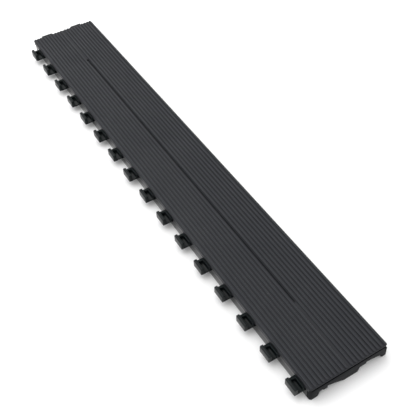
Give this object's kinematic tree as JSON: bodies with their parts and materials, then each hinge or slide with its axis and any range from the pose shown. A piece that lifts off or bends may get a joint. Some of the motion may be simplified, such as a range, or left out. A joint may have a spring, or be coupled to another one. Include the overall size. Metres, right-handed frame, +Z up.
{
  "type": "floor balance beam",
  "caption": "Low ribbed floor strip for balance work, with a long centre groove, hooks along one edge and sockets along the other that join strips side by side",
  "frame": {"origin": "centre of the footprint of the whole strip with its hooks, on the floor", "axes": "+Y along the strip towards the end with two hooks, +Z up, so that the long row of hooks stands out of -X"},
  "size_m": [0.1128, 0.733, 0.023],
  "materials": {
    "deck": "moulded satin charcoal, ribbed",
    "frame": "moulded semi-gloss dark grey",
    "cap": "moulded matt charcoal",
    "cross_rib": "moulded dark grey",
    "hook": "moulded semi-gloss near black",
    "screw": "zinc plated",
    "foot_pad": "matt black rubber"
  },
  "bodies": {
    "root": {"deck_panel": "deck", "hook_rail": "frame", "socket_rail": "frame", "near_end_cap": "cap", "far_end_cap": "cap", "cross_rib_01": "cross_rib", "cross_rib_02": "cross_rib", "cross_rib_03": "cross_rib", "cross_rib_04": "cross_rib", "cross_rib_05": "cross_rib", "cross_rib_06": "cross_rib", "cross_rib_07": "cross_rib", "edge_hook_01": "hook", "edge_hook_02": "hook", "edge_hook_03": "hook", "edge_hook_04": "hook", "edge_hook_05": "hook", "edge_hook_06": "hook", "edge_hook_07": "hook", "edge_hook_08": "hook", "edge_hook_09": "hook", "edge_hook_10": "hook", "edge_hook_11": "hook", "edge_hook_12": "hook", "edge_hook_13": "hook", "edge_hook_14": "hook", "edge_hook_15": "hook", "edge_hook_16": "hook", "end_hook_01": "hook", "end_hook_02": "hook", "deck_screw_01": "screw", "deck_screw_02": "screw", "deck_screw_03": "screw", "deck_screw_04": "screw", "deck_screw_05": "screw", "deck_screw_06": "screw", "deck_screw_07": "screw", "deck_screw_08": "screw", "deck_screw_09": "screw", "deck_screw_10": "screw", "deck_screw_11": "screw", "deck_screw_12": "screw", "deck_screw_13": "screw", "deck_screw_14": "screw", "cap_screw_01": "screw", "cap_screw_02": "screw", "foot_pad_01": "foot_pad", "foot_pad_02": "foot_pad", "foot_pad_03": "foot_pad", "foot_pad_04": "foot_pad", "foot_pad_05": "foot_pad", "foot_pad_06": "foot_pad", "foot_pad_07": "foot_pad", "foot_pad_08": "foot_pad"}
  },
  "joints": []
}
